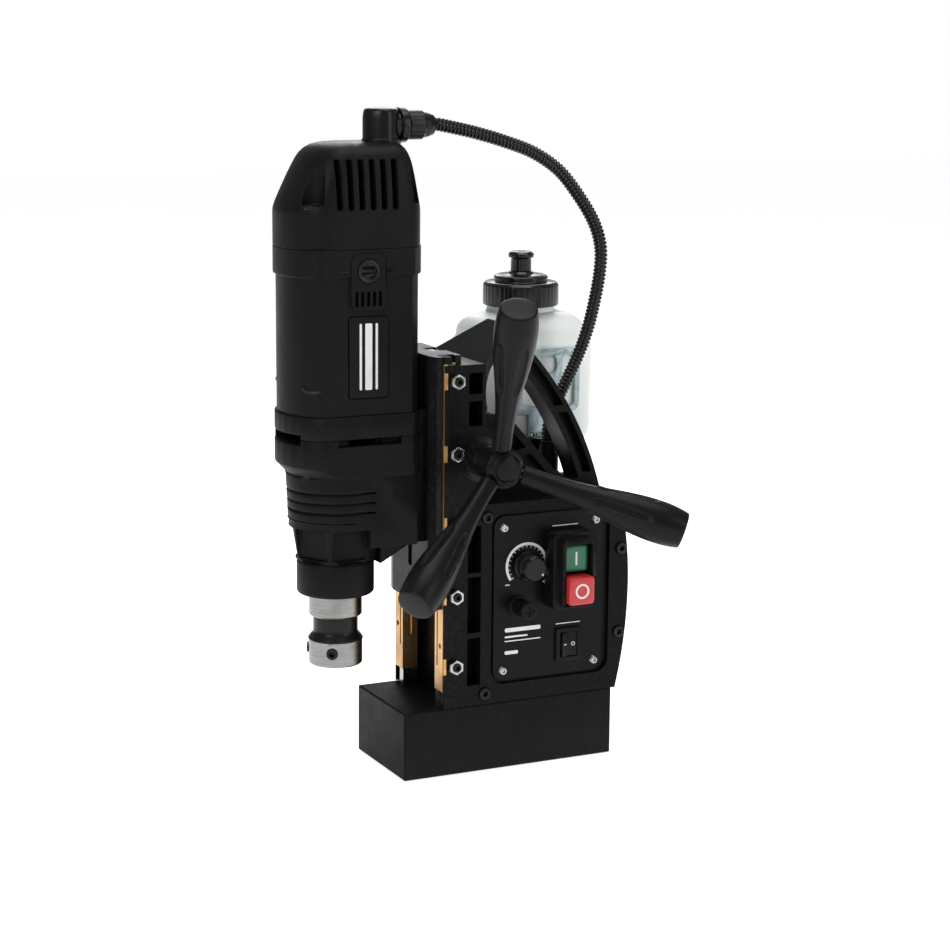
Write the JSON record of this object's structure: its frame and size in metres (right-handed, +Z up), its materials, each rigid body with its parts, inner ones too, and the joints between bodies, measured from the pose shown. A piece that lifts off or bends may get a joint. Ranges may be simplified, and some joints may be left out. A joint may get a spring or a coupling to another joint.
{
  "type": "magnetic drill press",
  "caption": "Magnetic base drill press: electromagnet foot, cast column with carry arch, rack-fed slide with motor and gear case, lever hub, control panel and coolant bottle.",
  "frame": {"origin": "centre of the electromagnet's flat lower face", "axes": "+Z up along the slide; the drill is on the -Y side; the control panel and feed levers are on the +X side"},
  "size_m": [0.261, 0.281, 0.4744],
  "materials": {
    "magnet_paint": "satin black paint",
    "potted_coil": "potted copper winding",
    "frame_paint": "black semi-gloss paint on cast aluminium",
    "black_steel": "black oxide steel",
    "panel_black": "matt black anodised plate",
    "bright_steel": "zinc plated steel",
    "brass": "machined bronze",
    "cap_rubber": "black rubber",
    "circuit": "circuit board with components",
    "component_grey": "pressed metal can",
    "black_plastic": "moulded black plastic",
    "knob_plastic": "black knob with white dot",
    "green_plastic": "green push button",
    "red_plastic": "red push button",
    "conduit_black": "corrugated nylon conduit",
    "galvanised": "zinc plated sheet",
    "bottle_plastic": "translucent natural polyethylene",
    "lid_plastic": "glossy black lid",
    "ground_steel": "ground steel",
    "grip_plastic": "moulded black grips and hub",
    "gear_steel": "machined steel",
    "case_paint": "dark grey painted casting",
    "motor_plastic": "matt black glass-filled nylon",
    "brush_plastic": "black phenolic",
    "brush_brass": "brass tube with carbon block",
    "lamination": "laminated core with windings",
    "bearing_steel": "bearing rings"
  },
  "bodies": {
    "frame": {"magnet_shell": "magnet_paint", "magnet_coils": "potted_coil", "magnet_screws": "black_steel", "main_frame": "frame_paint", "housing_cover": "frame_paint", "cover_screws": "black_steel", "control_panel": "panel_black", "panel_screws": "bright_steel", "gib_bars": "brass", "gib_blocks": "bright_steel", "gib_caps": "cap_rubber", "gib_set_screws": "black_steel", "gib_lock_nuts": "bright_steel", "circuit_board": "circuit", "potentiometer": "component_grey", "fuse_holder": "black_plastic", "fuse_cap": "black_plastic", "switch_guard": "black_plastic", "switch_block": "black_plastic", "rocker_bezel": "black_plastic", "conduit_gland": "black_plastic", "mains_gland": "black_plastic", "bottle_bracket": "galvanised", "bracket_screws": "bright_steel", "feed_bushes": "black_steel", "conduit": "conduit_black"},
    "carriage": {"slide": "black_steel", "rack": "gear_steel", "slide_screws": "black_steel", "gear_case": "case_paint", "bearing_plate": "case_paint", "motor_housing": "motor_plastic", "motor_cap": "motor_plastic", "cap_screws": "black_steel", "brush_caps": "brush_plastic", "brush_holders": "brush_brass", "field_core": "lamination", "spindle_bearings": "bearing_steel", "armature_bearings": "bearing_steel", "elbow": "black_plastic", "conduit_nut": "black_plastic"},
    "feed_handle": {"pinion_shaft": "ground_steel", "feed_hub": "grip_plastic", "lever_rods": "bright_steel", "lever_grips": "grip_plastic"},
    "armature": {"armature_shaft": "ground_steel", "armature_core": "lamination", "cooling_fan": "brush_plastic"},
    "intermediate": {"intermediate_gear": "gear_steel"},
    "spindle": {"spindle": "ground_steel", "spindle_gear": "gear_steel", "cutter_holder": "ground_steel", "holder_screws": "black_steel"},
    "speed_knob": {"speed_knob": "knob_plastic"},
    "start_button": {"start_button": "green_plastic"},
    "stop_button": {"stop_button": "red_plastic"},
    "rocker": {"rocker": "black_plastic"},
    "bottle": {"bottle": "bottle_plastic", "bottle_lid": "lid_plastic"},
    "nozzle": {"nozzle_cap": "lid_plastic"}
  },
  "joints": [
    {"name": "carriage_slide", "type": "slide", "parent": "frame", "child": "carriage", "axis": [0, 0, 1], "range_m": [-0.068, 0.085], "deforming": ["conduit"]},
    {"name": "feed_turn", "type": "hinge", "parent": "frame", "child": "feed_handle", "pos_m": [0.07, -0.025, 0.23], "axis": [1, 0, 0], "range_deg": [-350, 280]},
    {"name": "armature_spin", "type": "hinge", "parent": "carriage", "child": "armature", "pos_m": [0, -0.11, 0.3], "axis": [0, 0, 1], "continuous": true},
    {"name": "intermediate_spin", "type": "hinge", "parent": "carriage", "child": "intermediate", "pos_m": [0, -0.08625, 0.22], "axis": [0, 0, 1], "continuous": true},
    {"name": "spindle_spin", "type": "hinge", "parent": "carriage", "child": "spindle", "pos_m": [0, -0.11925, 0.15], "axis": [0, 0, 1], "continuous": true},
    {"name": "speed_turn", "type": "hinge", "parent": "frame", "child": "speed_knob", "pos_m": [0.05, 0.0125, 0.1495], "axis": [1, 0, 0], "range_deg": [0, 270]},
    {"name": "start_press", "type": "slide", "parent": "frame", "child": "start_button", "axis": [-1, 0, 0], "range_m": [0, 0.003], "stiffness_N_per_m": 800},
    {"name": "stop_press", "type": "slide", "parent": "frame", "child": "stop_button", "axis": [-1, 0, 0], "range_m": [0, 0.003], "stiffness_N_per_m": 800},
    {"name": "rocker_tilt", "type": "hinge", "parent": "frame", "child": "rocker", "pos_m": [0.04, 0.047, 0.0875], "axis": [0, 0, 1], "range_deg": [-14, 0]},
    {"name": "bottle_lift", "type": "slide", "parent": "frame", "child": "bottle", "axis": [0, 0, 1], "range_m": [0, 0.06]},
    {"name": "nozzle_pull", "type": "slide", "parent": "bottle", "child": "nozzle", "axis": [0, 0, 1], "range_m": [0, 0.006]}
  ],
  "couplings": [
    {"joint": "feed_turn", "follows": "carriage_slide", "rad_per_m": -71.429},
    {"joint": "intermediate_spin", "follows": "armature_spin", "ratio": -0.35714},
    {"joint": "spindle_spin", "follows": "armature_spin", "ratio": 0.16667}
  ]
}
